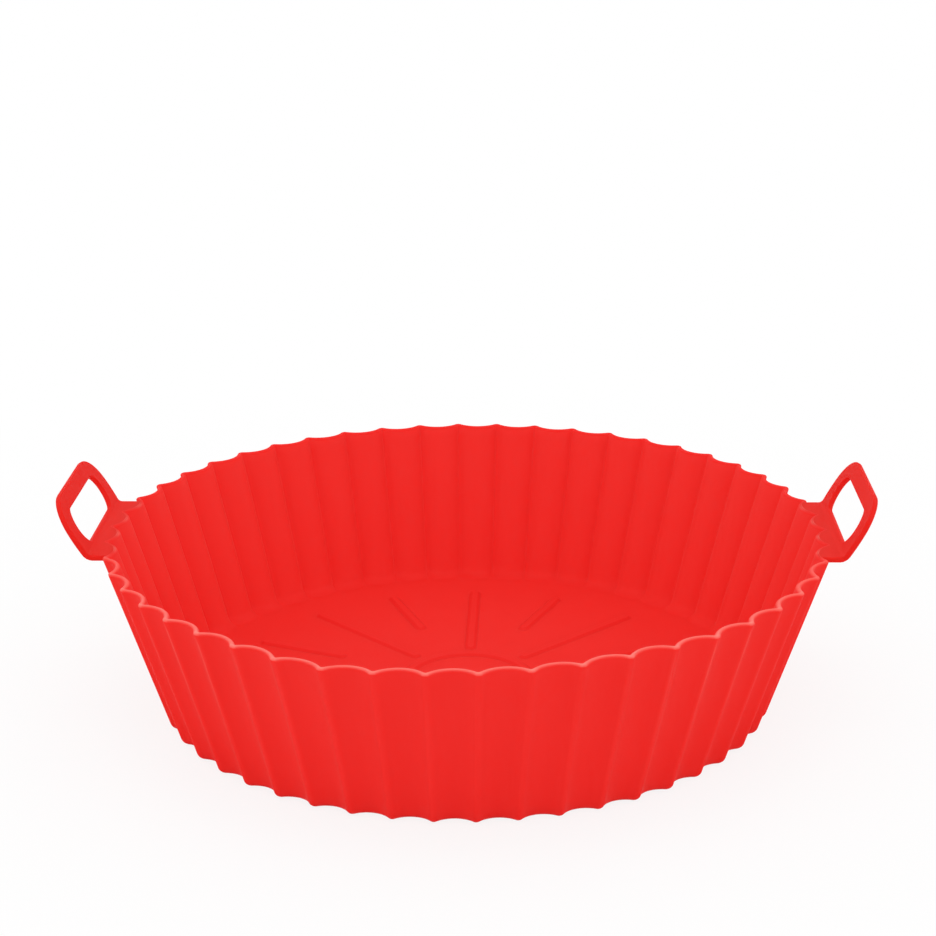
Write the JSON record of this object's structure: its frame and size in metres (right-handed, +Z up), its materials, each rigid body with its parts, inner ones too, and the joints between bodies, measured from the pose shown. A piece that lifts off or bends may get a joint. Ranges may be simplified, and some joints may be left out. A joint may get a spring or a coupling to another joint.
{
  "type": "air fryer liner",
  "caption": "Round flexible liner with a pleated wall, a flat ribbed floor and two upturned ears with wide finger holes.",
  "frame": {"origin": "centre of the underside, on the plane the liner rests on", "axes": "+Z up out of the bowl, X through both ears, Y across the bowl between them"},
  "size_m": [0.2212, 0.1996, 0.0615],
  "materials": {
    "silicone": "satin red moulded silicone rubber"
  },
  "bodies": {
    "root": {"liner": "silicone"}
  },
  "joints": []
}
